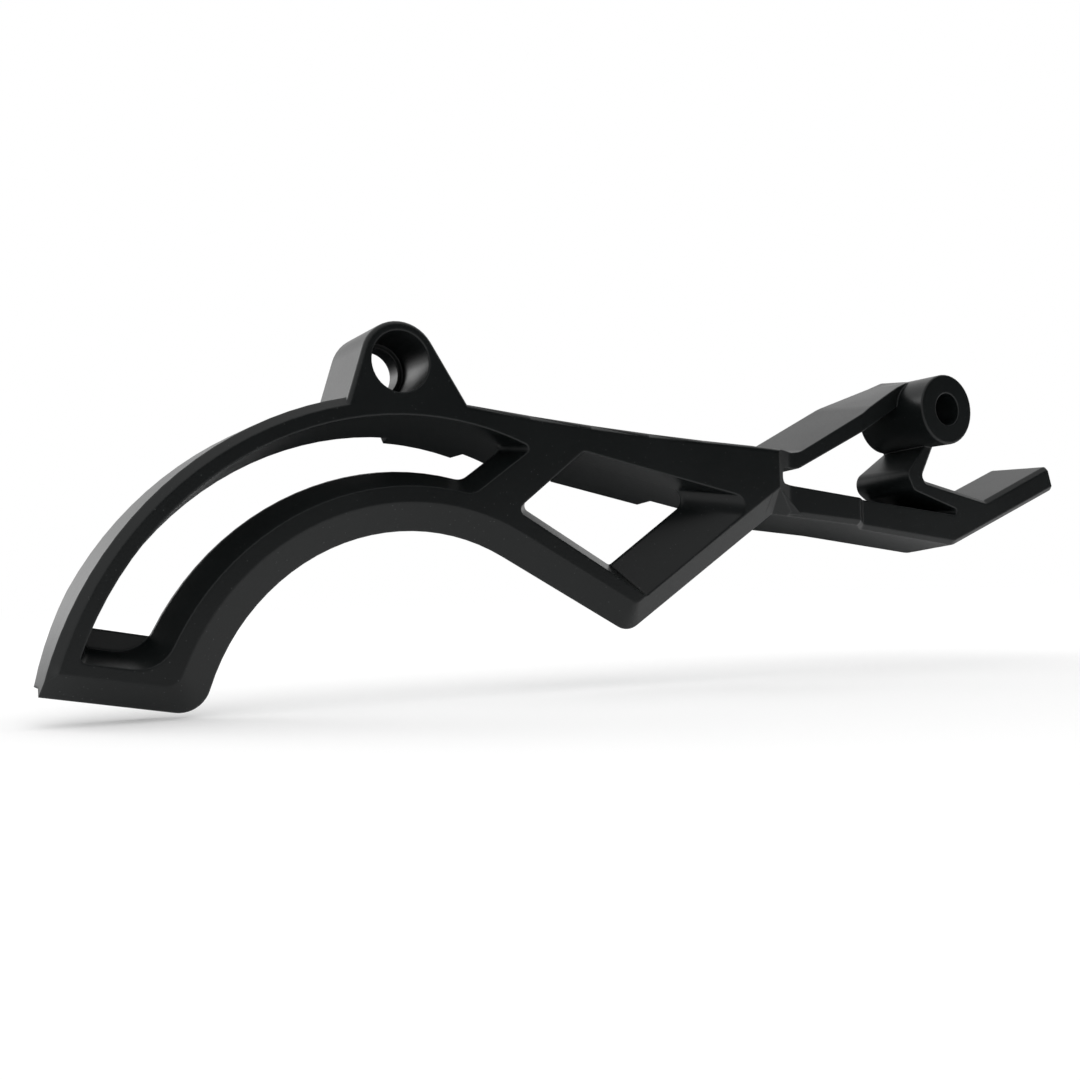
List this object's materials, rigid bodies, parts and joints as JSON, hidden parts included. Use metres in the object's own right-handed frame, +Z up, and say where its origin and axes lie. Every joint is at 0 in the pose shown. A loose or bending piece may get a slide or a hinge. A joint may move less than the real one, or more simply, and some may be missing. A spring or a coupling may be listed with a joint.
{
  "type": "motorbike sprocket cover",
  "caption": "One-piece plastic cover that arches over a motorbike's front sprocket, with a slotted arch, a V-shaped window, a lug and a forked arm with a boss for its fixing screws.",
  "frame": {"origin": "on the axis of the lug's screw bore, at the lug's back face, where it meets the crankcase", "axes": "+X along the cover from the arch towards the tail of the arm, +Y into the bike, +Z up as fitted"},
  "size_m": [0.2418, 0.02, 0.0679],
  "materials": {
    "cover": "satin black moulded plastic with a fine grain"
  },
  "bodies": {
    "root": {"sprocket_cover": "cover"}
  },
  "joints": []
}
